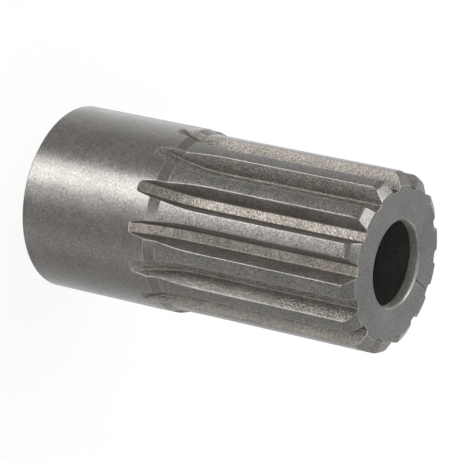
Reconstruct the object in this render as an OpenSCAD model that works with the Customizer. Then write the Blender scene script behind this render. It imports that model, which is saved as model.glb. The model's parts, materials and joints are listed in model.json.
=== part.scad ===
// Hollow disengagement shaft, turned from one bar and splined at one end.
// It stands on the end of its collar, with its axis along +Z and the splined end on top.

/* [Shaft] */
// Length from the collar's end to the splined end
shaft_length = 102; // [90:0.1:140]

/* [Collar] */
// Diameter of the plain collar
collar_diameter = 50; // [49:0.1:58]
// Length of the collar's full diameter
collar_length = 39.4; // [36:0.1:45]
// Length of the cone that leads down from the collar to the spline
shoulder_length = 3.1; // [1:0.1:6]
// Edge break on the collar's end
collar_edge = 0.4; // [0.2:0.1:2]

/* [Spline] */
// Number of teeth
tooth_count = 14; // [10:1:17]
// Diameter over the tips of the teeth
tip_diameter = 48.2; // [46:0.1:48.8]
// Diameter at the floor of the tooth gaps
root_diameter = 39.5; // [36:0.1:42]
// Width of a gap at the tips of the teeth
gap_mouth = 7.35; // [6:0.05:7.8]
// Width of a gap at its floor
gap_floor = 2.9; // [2.4:0.05:3.4]
// How far the middle of a flank stands out of its straight line
flank_crown = 0.12; // [0:0.01:0.25]
// Radius between a flank and the floor of the gap
root_fillet = 0.6; // [0.3:0.05:0.8]
// Length that is cut to full depth, back from the splined end
full_depth_length = 47.4; // [30:0.1:56]
// Diameter of the disc cutter that leaves the run-outs
cutter_diameter = 80; // [60:1:84]

/* [Splined end] */
// Diameter of the flat end face
end_face_diameter = 41.4; // [40.5:0.1:44]
// Length of the lead chamfer on the teeth
lead_length = 1.85; // [1:0.05:4]
// Radius between the lead chamfer and the tips of the teeth
lead_round = 2; // [0.5:0.1:3]

/* [Bore] */
// Diameter of the short bore in the splined end
bore_diameter = 23; // [18:0.1:26]
// Depth of the short bore
bore_depth = 3.2; // [2:0.1:8]
// Edge break on the mouth of the short bore
bore_edge = 0.45; // [0.2:0.05:1]
// Diameter of the long bore, open at the collar's end
long_bore_diameter = 29; // [28:0.1:31]
// Edge break on the mouth of the long bore
long_bore_edge = 1; // [0.3:0.1:2]

/* [Hidden] */
$fn = 96;

// Straight pieces in each half of a gap's curved outline
flank_steps = 4;
fillet_steps = 3;
arc_steps = 4;
// How far a cutting shape reaches past the metal that it takes away
over = 1;
// Turn of the cutter's path, enough for it to lift clear of the collar
runout_turn = 60;
// Turn by which that path starts inside the straight cut
cut_in_turn = 10;

collar_r = collar_diameter / 2;
tip_r = tip_diameter / 2;
root_r = root_diameter / 2;
end_face_r = end_face_diameter / 2;
bore_r = bore_diameter / 2;
long_bore_r = long_bore_diameter / 2;
cutter_r = cutter_diameter / 2;

tooth_height = tip_r - root_r;
shoulder_end = collar_length + shoulder_length;
// Height on the shaft at which the cutter starts to lift out of full depth
runout_z = shaft_length - full_depth_length;

// Half the width of a gap at a height above its floor, as a straight flank with a crown
flank_slope = (gap_mouth - gap_floor) / 2 / tooth_height;
flank_angle = atan(flank_slope);
function crown(h) = 4 * flank_crown * h * (tooth_height - h) / pow(tooth_height, 2);
function half_gap(h) = gap_floor / 2 + flank_slope * h - (h < tooth_height ? crown(h) : 0);

// The fillet's arc meets the floor and the flank's line
fillet_back = root_fillet * tan(45 - flank_angle / 2);
fillet_x = gap_floor / 2 - fillet_back;
fillet_top = root_fillet * (1 - sin(flank_angle));
fillet_points = [for (i = [0 : fillet_steps])
    let (a = (90 - flank_angle) * i / fillet_steps)
    [root_fillet * (1 - cos(a)), fillet_x + root_fillet * sin(a)]];
flank_points = [for (i = [1 : flank_steps])
    let (h = fillet_top + (tooth_height - fillet_top) * i / flank_steps)
    [h, half_gap(h)]];
gap_top = collar_r - root_r + over;
half_outline = concat(fillet_points, flank_points, [[gap_top, half_gap(gap_top)]]);

// Closed outline of a gap: height above the floor, then distance from the middle
function mirrored(points) = [for (i = [len(points) - 1 : -1 : 0]) [points[i][0], -points[i][1]]];
gap_outline = concat(half_outline, mirrored(half_outline));

// The round between the lead chamfer and the tips, as points along an arc
lead_slope = atan((tip_r - end_face_r) / lead_length);
lead_z = shaft_length - lead_length;
lead_back = lead_round * tan(lead_slope / 2);
lead_points = [for (i = [0 : arc_steps])
    let (a = lead_slope * i / arc_steps)
    [tip_r - lead_round * (1 - cos(a)), lead_z - lead_back + lead_round * sin(a)]];

// The turned blank before its bores and its gaps are cut
module blank() {
    rotate_extrude()
        polygon(concat(
            [[0, 0], [collar_r - collar_edge, 0], [collar_r, collar_edge],
             [collar_r, collar_length], [tip_r, shoulder_end]],
            lead_points,
            [[end_face_r, shaft_length], [0, shaft_length]]));
}

// The short bore in the splined end, with its edge break
module short_bore() {
    translate([0, 0, shaft_length - bore_depth - over])
        cylinder(h = bore_depth + 2 * over, r = bore_r);
    translate([0, 0, shaft_length - bore_edge])
        cylinder(h = bore_edge + over, r1 = bore_r, r2 = bore_r + bore_edge + over);
}

// The long bore from the collar's end, which leaves the short bore as a lip
module long_bore() {
    translate([0, 0, -over])
        cylinder(h = shaft_length - bore_depth + over, r = long_bore_r);
    translate([0, 0, -over])
        cylinder(h = long_bore_edge + over, r1 = long_bore_r + long_bore_edge + over, r2 = long_bore_r);
}

// One gap on the +X side: a straight cut, then the path of a round cutter as it lifts out
module gap() {
    translate([root_r, 0, runout_z])
        linear_extrude(height = full_depth_length + over)
            polygon(gap_outline);
    translate([root_r + cutter_r, 0, runout_z])
        rotate([90, 180, 0])
            rotate([0, 0, -cut_in_turn])
                rotate_extrude(angle = runout_turn + cut_in_turn)
                    polygon([for (p = gap_outline) [cutter_r - p[0], p[1]]]);
}

module shaft() {
    color([0.45, 0.44, 0.43])
        difference() {
            blank();
            short_bore();
            long_bore();
            for (i = [0 : tooth_count - 1])
                rotate([0, 0, 360 / tooth_count * i])
                    gap();
        }
}

shaft();
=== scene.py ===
"""A hollow splined shaft in machined steel, standing on its collar on a lit white table."""

import json
import math

import bmesh
import bpy
from mathutils import Matrix, Vector


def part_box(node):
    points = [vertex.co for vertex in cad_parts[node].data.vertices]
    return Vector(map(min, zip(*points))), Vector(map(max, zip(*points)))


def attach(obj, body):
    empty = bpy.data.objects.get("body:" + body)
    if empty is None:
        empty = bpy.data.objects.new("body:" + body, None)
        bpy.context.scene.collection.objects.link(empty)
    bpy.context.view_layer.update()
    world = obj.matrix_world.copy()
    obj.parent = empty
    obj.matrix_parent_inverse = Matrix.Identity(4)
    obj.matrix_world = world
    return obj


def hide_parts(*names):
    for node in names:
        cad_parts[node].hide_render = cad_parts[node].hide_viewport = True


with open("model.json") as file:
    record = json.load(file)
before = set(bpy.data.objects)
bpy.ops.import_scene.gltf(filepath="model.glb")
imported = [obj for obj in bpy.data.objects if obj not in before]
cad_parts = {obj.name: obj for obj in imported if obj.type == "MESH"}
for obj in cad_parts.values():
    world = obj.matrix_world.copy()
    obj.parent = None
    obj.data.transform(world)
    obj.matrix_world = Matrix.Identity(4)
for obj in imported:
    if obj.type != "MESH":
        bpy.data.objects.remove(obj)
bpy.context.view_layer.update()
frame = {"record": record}        # one solid, standing on the end of its collar with its axis along +Z

# The mesh is worked out in millimetres and brought to metres at the end
MM = 0.001
mounts = {mount["name"]: mount for mount in frame["record"]["mounts"]}
shaft_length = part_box("shaft")[1].z / MM

# Collar
collar_r = mounts["journal"]["dims"]["r_mm"]
collar_length = 39.4
shoulder_length = 3.1
collar_edge = 0.4

# Spline
tooth_count = 14
tip_r = 24.1
root_r = 19.75
gap_mouth = 7.35
gap_floor = 2.9
flank_crown = 0.12
root_fillet = 0.6
# Half the angle that a fillet turns through, from the floor to a flank
half_fillet_turn = 32
full_depth_length = 47.4
cutter_r = 40
runout_turn = 60

# Splined end and bores
end_face_r = 20.7
lead_length = 1.85
lead_round = 2
bore_r = mounts["end_bore"]["dims"]["r_mm"]
bore_depth = 3.2
bore_edge = 0.45
long_bore_r = mounts["long_bore"]["dims"]["r_mm"]
long_bore_edge = 1

# Edges broken with a file or a stone
burr_break = 0.18
shoulder_round = 0.12
small_break = 0.12
lip_round = 0.5

# A scratch across the end face, and the share of its full size at its inner end
scratch_angle = 77.8
scratch_start = 13.2
scratch_end = 19
scratch_width = 0.24
scratch_depth = 0.11
scratch_inner_share = 0.5

# Steps of the mesh
around = 224
flank_steps = 6
runout_steps = 40
break_segments = 4
fillet_segments = 5
burr_segments = 2

# How far a cutter reaches past the metal, and how near points are before they become one
over = 1
blank_weld = 0.001
cut_weld = 0.002

# Edges that turn by more degrees than this stay sharp
sharp_angle = 32

# How far a face points along the shaft's axis, from 0 to 1: a flat end lies above the first
# value, the wall of a bore below the second, and the lead chamfer above the third
flat_rise = 0.95
bore_rise = 0.5
lead_rise = 0.3

# How far a face of a gap points round the axis, from 0 to 1, where its fillet and flank start
fillet_steepness = 0.2
flank_steepness = 0.84

tooth_height = tip_r - root_r
runout_z = shaft_length - full_depth_length
shoulder_end = collar_length + shoulder_length
lead_z = shaft_length - lead_length

SURFACES = ["turned", "shoulder", "land", "lead", "faced", "lip", "long_bore",
            "floor", "root", "flank", "wear_and_highlight"]
MILLED = [SURFACES.index(surface) for surface in ("floor", "root", "flank")]


def put_in_scene(name, mesh):
    thing = bpy.data.objects.new(name, mesh)
    bpy.context.scene.collection.objects.link(thing)
    return thing


# The turned blank

def finish_of(face):
    """The surface that a face of the blank belongs to, by its place and the way it faces."""
    middle = face.calc_center_median()
    radius = math.hypot(middle.x, middle.y)
    rise = abs(face.normal.z)
    if radius < long_bore_r + small_break and rise < bore_rise:
        return "lip" if radius < bore_r + small_break else "long_bore"
    # A thin band round the end face's rim takes the lighter edge steel: partly worn metal, partly a
    # painted highlight line.
    if max(abs(radius - end_face_r), shaft_length - middle.z) < small_break:
        return "wear_and_highlight"
    if rise > flat_rise:
        return "faced"
    # The bore's mouth chamfer takes the lighter edge steel: partly worn metal, partly a painted
    # highlight line round the bore.
    if radius < long_bore_r and middle.z > shaft_length / 2:
        return "wear_and_highlight"
    if middle.z > lead_z - lead_round and rise > lead_rise:
        return "lead"
    # Thin bands at both ends of the shoulder take the lighter edge steel: partly worn metal, partly
    # painted highlight lines.
    if min(abs(middle.z - collar_length), abs(middle.z - shoulder_end)) < shoulder_round:
        return "wear_and_highlight"
    if middle.z < collar_length:
        return "turned"
    return "shoulder" if middle.z < shoulder_end else "land"


def turned_blank():
    """The blank as one profile, its corners eased and then turned about the shaft's axis."""
    lead_slope = math.atan((tip_r - end_face_r) / lead_length)
    profile = [
        (long_bore_r + long_bore_edge, 0, small_break),
        (collar_r - collar_edge, 0, small_break),
        (collar_r, collar_edge, small_break),
        (collar_r, collar_length, shoulder_round),
        (tip_r, shoulder_end, shoulder_round),
        (tip_r, lead_z, lead_round * math.tan(lead_slope / 2)),
        (end_face_r, shaft_length, small_break),
        (bore_r + bore_edge, shaft_length, small_break),
        (bore_r, shaft_length - bore_edge, small_break),
        (bore_r, shaft_length - bore_depth, lip_round),
        (long_bore_r, shaft_length - bore_depth, 0),
        (long_bore_r, long_bore_edge, small_break),
    ]
    blank = bmesh.new()
    corners = [blank.verts.new((radius, 0, height)) for radius, height, _ in profile]
    for start, end in zip(corners, corners[1:] + corners[:1]):
        blank.edges.new((start, end))
    for corner, (_, _, ease) in zip(corners, profile):
        if ease:
            bmesh.ops.bevel(blank, geom=[corner], offset=ease, affect="VERTICES",
                            segments=break_segments, profile=0.5, material=-1)
    bmesh.ops.spin(blank, geom=blank.verts[:] + blank.edges[:], cent=(0, 0, 0), axis=(0, 0, 1),
                   angle=math.tau, steps=around, use_merge=True)
    bmesh.ops.remove_doubles(blank, verts=blank.verts, dist=blank_weld)
    bmesh.ops.recalc_face_normals(blank, faces=blank.faces)
    for face in blank.faces:
        face.material_index = SURFACES.index(finish_of(face))
    return blank


# What is cut away from it

def half_gap(height):
    """Half the width of a gap at a height above its floor."""
    slope = (gap_mouth - gap_floor) / 2 / tooth_height
    crown = 4 * flank_crown * height * (tooth_height - height) / tooth_height ** 2
    return gap_floor / 2 + slope * height - max(crown, 0)


def gap_cutters():
    """The path of a round form cutter, straight and then lifting out, repeated for every gap."""
    top = collar_r - root_r + over
    heights = [tooth_height * step / flank_steps for step in range(flank_steps + 1)] + [top]
    half = [(height, half_gap(height)) for height in heights]
    outline = [(height, -width) for height, width in reversed(half)] + half
    cutters = bmesh.new()
    corners = [cutters.verts.new((root_r + height, width, shaft_length + over))
               for height, width in outline]
    cutters.faces.new(corners)
    floor_corners = [corner for corner in corners if corner.co.x == root_r]
    bmesh.ops.bevel(cutters, geom=floor_corners, affect="VERTICES", segments=fillet_segments,
                    offset=root_fillet * math.tan(math.radians(half_fillet_turn)),
                    profile=0.5, material=-1)
    straight = bmesh.ops.extrude_face_region(cutters, geom=cutters.faces[:])["geom"]
    far_corners = [part for part in straight if isinstance(part, bmesh.types.BMVert)]
    bmesh.ops.translate(cutters, verts=far_corners, vec=(0, 0, -full_depth_length - over))
    bmesh.ops.spin(cutters, geom=straight, cent=(root_r + cutter_r, 0, runout_z), axis=(0, 1, 0),
                   angle=-math.radians(runout_turn), steps=runout_steps)
    pitch = math.tau / tooth_count
    bmesh.ops.spin(cutters, geom=cutters.verts[:] + cutters.edges[:] + cutters.faces[:],
                   cent=(0, 0, 0), axis=(0, 0, 1), angle=pitch * (tooth_count - 1),
                   steps=tooth_count - 1, use_duplicate=True)
    return cutters


def add_scratch(cutters):
    """A V-shaped scratch across the end face, which deepens towards its outer end."""
    turn = Matrix.Rotation(math.radians(scratch_angle), 3, "Z")
    rings = []
    for radius, share in ((scratch_start, scratch_inner_share), (scratch_end, 1)):
        points = [(radius, -share * scratch_width / 2, over), (radius, 0, -share * scratch_depth),
                  (radius, share * scratch_width / 2, over)]
        rings.append([cutters.verts.new(turn @ Vector(point) + Vector((0, 0, shaft_length)))
                      for point in points])
    edges = [cutters.edges.new((point, ring[index - 1]))
             for ring in rings for index, point in enumerate(ring)]
    bmesh.ops.bridge_loops(cutters, edges=edges)
    for ring in rings:
        cutters.faces.new(ring)


def cut_gaps(blank, cutters):
    """The blank with the cutters' shapes taken away, as a new mesh in millimetres."""
    bmesh.ops.recalc_face_normals(cutters, faces=cutters.faces)
    for face in cutters.faces:
        middle = face.calc_center_median()
        along = Vector((-middle.y, middle.x, 0)).normalized()
        steepness = abs(face.normal.dot(along))
        kind = (steepness > fillet_steepness) + (steepness > flank_steepness)
        face.material_index = MILLED[kind]
    parts = []
    for name, bm in (("turned_blank", blank), ("gap_cutters", cutters)):
        mesh = bpy.data.meshes.new(name)
        bm.to_mesh(mesh)
        bm.free()
        for _ in SURFACES:
            mesh.materials.append(None)
        parts.append(put_in_scene(name, mesh))
    work, tool = parts
    cut = work.modifiers.new("gaps", "BOOLEAN")
    cut.operation = "DIFFERENCE"
    cut.solver = "EXACT"
    cut.object = tool
    seen = bpy.context.evaluated_depsgraph_get()
    mesh = bpy.data.meshes.new_from_object(work.evaluated_get(seen))
    for part in parts:
        bpy.data.objects.remove(part)
    return mesh


def break_edges(mesh):
    """Eases the sharp edges that the cutter left round each gap, then brings the mesh to metres."""
    shaft = bmesh.new()
    shaft.from_mesh(mesh)
    bmesh.ops.remove_doubles(shaft, verts=shaft.verts, dist=cut_weld)
    bmesh.ops.dissolve_degenerate(shaft, edges=shaft.edges, dist=cut_weld)
    mouths = [edge for edge in shaft.edges
              if sum(face.material_index in MILLED for face in edge.link_faces) == 1]
    broken = bmesh.ops.bevel(shaft, geom=mouths, offset=burr_break, affect="EDGES",
                             segments=burr_segments, profile=0.5, clamp_overlap=False,
                             loop_slide=False, material=-1)
    # The broken edges round each gap take the lighter edge steel: partly worn metal, partly painted
    # highlight lines along the gap mouths.
    for face in broken["faces"]:
        face.material_index = SURFACES.index("wear_and_highlight")
    bmesh.ops.scale(shaft, verts=shaft.verts, vec=(MM, MM, MM))
    for face in shaft.faces:
        face.smooth = True
    shaft.to_mesh(mesh)
    shaft.free()
    mesh.set_sharp_from_angle(angle=math.radians(sharp_angle))
    return mesh


# Finishes

# Brown stain, and the sizes in millimetres of what clouds, spots, dulls and marks the steel
stain_colour = (0.120, 0.088, 0.060)
cloud_size = 8
stain_size = 1.3
dull_size = 2
scuff_width = 0.35
ring_width = 0.6

# How many times longer than wide scuffs and turning marks are, and how scuffs lie, in degrees
scuff_stretch = 30
ring_stretch = 50
scuff_turns = (12, 75, 140)

# How far the roughness wanders from its middle, and the turn of reflections across facing marks
roughness_reach = 0.04
quarter_turn = 0.25


def link(tree, source, target):
    tree.links.new(source, target)


def grain(tree, place, size, detail=2.0, roughness=0.5, stretch=(1, 1, 1), turn=0):
    """Noise with cells of size millimetres, drawn out by stretch along axes turned about Z."""
    mapping = tree.nodes.new("ShaderNodeMapping")
    mapping.vector_type = "TEXTURE"
    mapping.inputs["Rotation"].default_value = (0, 0, math.radians(turn))
    mapping.inputs["Scale"].default_value = stretch
    link(tree, place, mapping.inputs["Vector"])
    noise = tree.nodes.new("ShaderNodeTexNoise")
    noise.inputs["Scale"].default_value = 1 / (size * MM)
    noise.inputs["Detail"].default_value = detail
    noise.inputs["Roughness"].default_value = roughness
    link(tree, mapping.outputs["Vector"], noise.inputs["Vector"])
    return noise.outputs["Fac"]


def spread(tree, value, low, high, start=0.3, end=0.7):
    """value, which runs from about start to end, brought to the range from low to high."""
    reach = tree.nodes.new("ShaderNodeMapRange")
    limits = {"From Min": start, "From Max": end, "To Min": low, "To Max": high}
    for name, limit in limits.items():
        reach.inputs[name].default_value = limit
    link(tree, value, reach.inputs["Value"])
    return reach.outputs["Result"]


def maths(tree, operation, first, second):
    node = tree.nodes.new("ShaderNodeMath")
    node.operation = operation
    for socket, value in zip(node.inputs, (first, second)):
        if isinstance(value, (int, float)):
            socket.default_value = value
        else:
            link(tree, value, socket)
    return node.outputs["Value"]


def blend(tree, share, first, second):
    """A colour that goes from first to second with share. Each is a colour or a socket."""
    mix = tree.nodes.new("ShaderNodeMix")
    mix.data_type = "RGBA"
    link(tree, share, mix.inputs["Factor"])
    for name, colour in (("A", first), ("B", second)):
        if isinstance(colour, tuple):
            mix.inputs[name].default_value = (*colour, 1)
        else:
            link(tree, colour, mix.inputs[name])
    return mix.outputs["Result"]


def steel(name, dark, light, roughness, grit, speckle, relief, rings=0.0, stain=0.0, scuffs=0.0,
          across=0.0, oxide=0.0):
    """Bare steel, clouded from dark to light, with a speckle of grit millimetres over it.

    relief is the height of the grit and rings that of turning marks, in millimetres. speckle, stain
    and scuffs are shares of the colour. across is how far facing marks, which run round the shaft's
    axis, draw the reflections out across them. oxide is the share of the surface that is dull.
    """
    material = bpy.data.materials.new(name)
    material.use_nodes = True
    tree = material.node_tree
    shader = tree.nodes["Principled BSDF"]
    shader.inputs["Metallic"].default_value = 1.0 - oxide
    place = tree.nodes.new("ShaderNodeTexCoord").outputs["Object"]

    clouds = spread(tree, grain(tree, place, cloud_size, detail=5.0, roughness=0.65), 0, 1)
    colour = blend(tree, clouds, dark, light)
    if stain:
        spots = grain(tree, place, stain_size, detail=4.0, roughness=0.7)
        share = spread(tree, spots, 0, stain, start=0.5, end=0.66)
        colour = blend(tree, share, colour, stain_colour)

    fine = grain(tree, place, grit, roughness=0.6)
    tone = spread(tree, fine, 1 - speckle, 1 + speckle)
    if scuffs:
        for turn in scuff_turns:
            lines = grain(tree, place, scuff_width, detail=1.0, stretch=(scuff_stretch, 1, 1),
                          turn=turn)
            lit = spread(tree, lines, 0, scuffs, start=0.62, end=0.72)
            tone = maths(tree, "ADD", tone, lit)
    toned = tree.nodes.new("ShaderNodeVectorMath")
    toned.operation = "SCALE"
    link(tree, colour, toned.inputs["Vector"])
    link(tree, tone, toned.inputs["Scale"])
    link(tree, toned.outputs["Vector"], shader.inputs["Base Color"])

    rough = spread(tree, grain(tree, place, dull_size, detail=4.0),
                   roughness - roughness_reach, roughness + roughness_reach)
    link(tree, rough, shader.inputs["Roughness"])
    if across:
        tangent = tree.nodes.new("ShaderNodeTangent")
        tangent.direction_type = "RADIAL"
        tangent.axis = "Z"
        link(tree, tangent.outputs["Tangent"], shader.inputs["Tangent"])
        shader.inputs["Anisotropic"].default_value = across
        shader.inputs["Anisotropic Rotation"].default_value = quarter_turn

    height = maths(tree, "MULTIPLY", fine, relief * MM)
    if rings:
        marks = grain(tree, place, ring_width, stretch=(ring_stretch, ring_stretch, 1))
        height = maths(tree, "ADD", height, maths(tree, "MULTIPLY", marks, rings * MM))
    bump = tree.nodes.new("ShaderNodeBump")
    bump.inputs["Strength"].default_value = 1.0
    bump.inputs["Distance"].default_value = 1.0
    link(tree, height, bump.inputs["Height"])
    link(tree, bump.outputs["Normal"], shader.inputs["Normal"])
    return material


def finishes():
    return {
        "turned": steel("turned_steel", (0.114, 0.109, 0.103), (0.146, 0.138, 0.130), 0.28,
                        grit=0.42, speckle=0.35, relief=0.031, rings=0.004, scuffs=0.06),
        "shoulder": steel("shoulder_steel", (0.122, 0.114, 0.104), (0.140, 0.130, 0.118), 0.28,
                          grit=0.42, speckle=0.28, relief=0.020, rings=0.004),
        "land": steel("land_steel", (0.112, 0.108, 0.102), (0.138, 0.132, 0.125), 0.28,
                      grit=0.38, speckle=0.54, relief=0.046, rings=0.006, scuffs=0.04),
        "lead": steel("lead_steel", (0.114, 0.110, 0.104), (0.134, 0.129, 0.122), 0.30,
                      grit=0.40, speckle=0.34, relief=0.040, rings=0.004),
        "faced": steel("faced_steel", (0.096, 0.095, 0.093), (0.124, 0.122, 0.119), 0.36,
                       grit=0.36, speckle=0.34, relief=0.024, scuffs=0.14, across=0.45),
        # The wall inside the bore's mouth is much lighter than the rest of the steel, which paints
        # light onto that recessed wall.
        "lip": steel("lip_steel", (0.29, 0.284, 0.263), (0.39, 0.382, 0.354), 0.68,
                     grit=0.60, speckle=0.24, relief=0.050),
        "long_bore": steel("long_bore_steel", (0.160, 0.155, 0.145), (0.214, 0.209, 0.197), 0.64,
                           grit=0.60, speckle=0.22, relief=0.050),
        "floor": steel("floor_steel", (0.125, 0.113, 0.100), (0.201, 0.187, 0.171), 0.36,
                       grit=0.56, speckle=0.44, relief=0.150, stain=0.46),
        "root": steel("root_steel", (0.112, 0.101, 0.088), (0.150, 0.137, 0.121), 0.48,
                      grit=0.50, speckle=0.30, relief=0.100, oxide=0.2),
        "flank": steel("flank_steel", (0.149, 0.136, 0.121), (0.211, 0.196, 0.178), 0.43,
                       grit=0.66, speckle=0.34, relief=0.160, stain=0.14, oxide=0.25),
        # Lighter steel for the broken edges: partly bared, worn metal and partly a painted highlight,
        # so that thin bright lines show along the edges.
        "wear_and_highlight": steel("edge_wear_and_highlight", (0.165, 0.160, 0.152), (0.250, 0.243, 0.233), 0.34,
                      grit=0.80, speckle=0.16, relief=0.010),
    }


def make_shaft():
    blank, cutters = turned_blank(), gap_cutters()
    add_scratch(cutters)
    mesh = break_edges(cut_gaps(blank, cutters))
    mesh.name = "splined_shaft"
    made = finishes()
    for slot, surface in enumerate(SURFACES):
        mesh.materials[slot] = made[surface]
    shaft = put_in_scene("splined_shaft", mesh)
    even = shaft.modifiers.new("even_shading", "WEIGHTED_NORMAL")
    even.keep_sharp = True
    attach(shaft, "root")
    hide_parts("shaft")


# Table, light and camera

# Half the table's side and the lamps' distance, in metres
table_reach = 6
lamp_distance = 0.6
# Share of the table's white that comes from inside it, and the tone of its paper
table_glow = 0.9
table_tone = (0.9, 0.9, 0.9, 1)
# Strength of the white room as light, and as the background that is seen
room_light = 0.6
room_white = 1.0


def seen_directly(tree):
    """1 for what the camera sees, straight or by way of gloss or glass, and 0 for other light."""
    rays = tree.nodes.new("ShaderNodeLightPath").outputs
    mirrored = maths(tree, "MAXIMUM", rays["Is Glossy Ray"], rays["Is Transmission Ray"])
    return maths(tree, "MAXIMUM", rays["Is Camera Ray"], mirrored)


def make_table():
    """A white table lit from inside, which shows the shaft's shadow faintly."""
    top = bmesh.new()
    bmesh.ops.create_grid(top, x_segments=1, y_segments=1, size=table_reach)
    mesh = bpy.data.meshes.new("table")
    top.to_mesh(mesh)
    top.free()
    material = bpy.data.materials.new("lit_table")
    material.use_nodes = True
    tree = material.node_tree
    tree.nodes.clear()
    paper = tree.nodes.new("ShaderNodeBsdfDiffuse")
    paper.inputs["Color"].default_value = table_tone
    glow = tree.nodes.new("ShaderNodeEmission")
    glow.inputs["Strength"].default_value = 1.0
    mix = tree.nodes.new("ShaderNodeMixShader")
    link(tree, maths(tree, "MULTIPLY", seen_directly(tree), table_glow), mix.inputs["Fac"])
    link(tree, paper.outputs["BSDF"], mix.inputs[1])
    link(tree, glow.outputs["Emission"], mix.inputs[2])
    output = tree.nodes.new("ShaderNodeOutputMaterial")
    link(tree, mix.outputs["Shader"], output.inputs["Surface"])
    mesh.materials.append(material)
    table = put_in_scene("table", mesh)
    table.visible_glossy = False
    table.visible_shadow = False


def towards(azimuth, elevation):
    """Unit vector from the shaft. Azimuth is measured from +X towards +Y."""
    azimuth, elevation = math.radians(azimuth), math.radians(elevation)
    level = math.cos(elevation)
    return Vector((level * math.cos(azimuth), level * math.sin(azimuth), math.sin(elevation)))


def softbox(name, azimuth, elevation, wide, high, radiance):
    """A softbox that faces the shaft's middle. wide and high are the angles that it fills there."""
    data = bpy.data.lights.new(name, "AREA")
    data.shape = "RECTANGLE"
    data.size = 2 * lamp_distance * math.tan(math.radians(wide) / 2)
    data.size_y = 2 * lamp_distance * math.tan(math.radians(high) / 2)
    data.energy = radiance * math.pi * data.size * data.size_y
    lamp = put_in_scene(name, data)
    away = towards(azimuth, elevation)
    lamp.location = Vector((0, 0, shaft_length / 2 * MM)) + away * lamp_distance
    lamp.rotation_euler = away.to_track_quat("Z", "Y").to_euler()
    lamp.visible_camera = False


def make_light():
    world = bpy.data.worlds.new("white_room")
    bpy.context.scene.world = world
    world.use_nodes = True
    tree = world.node_tree
    background = tree.nodes["Background"]
    background.inputs["Color"].default_value = (1, 1, 1, 1)
    strength = spread(tree, seen_directly(tree), room_light, room_white, start=0, end=1)
    link(tree, strength, background.inputs["Strength"])
    softbox("table_key", azimuth=-112, elevation=-38, wide=22, high=34, radiance=7.0)
    softbox("table_key_edge", azimuth=-89, elevation=-38, wide=18, high=34, radiance=1.5)
    softbox("table_side", azimuth=-29, elevation=-38, wide=24, high=26, radiance=0.4)
    softbox("table_far", azimuth=142, elevation=-38, wide=44, high=26, radiance=0.55)
    softbox("low_front", azimuth=-74, elevation=8, wide=30, high=14, radiance=5.5)
    softbox("overhead", azimuth=158, elevation=64, wide=36, high=36, radiance=4.6)
    softbox("back", azimuth=80, elevation=38, wide=90, high=40, radiance=0.32)


def make_camera():
    """The photograph's view: a long lens, rolled so that the shaft lies on its side."""
    data = bpy.data.cameras.new("camera")
    data.sensor_width = 36
    data.lens = 260.97
    azimuth, elevation, roll, distance = -88.657, 31.375, 102.072, 0.8875
    aim = Vector((0.34, 0, 50.55)) * MM
    camera = put_in_scene("camera", data)
    away = towards(azimuth, elevation)
    turn = away.to_track_quat("Z", "Y").to_matrix() @ Matrix.Rotation(math.radians(roll), 3, "Z")
    camera.matrix_world = Matrix.Translation(aim + away * distance) @ turn.to_4x4()
    bpy.context.scene.camera = camera


make_shaft()
make_table()
make_light()
make_camera()
bpy.context.scene.view_settings.view_transform = "Standard"
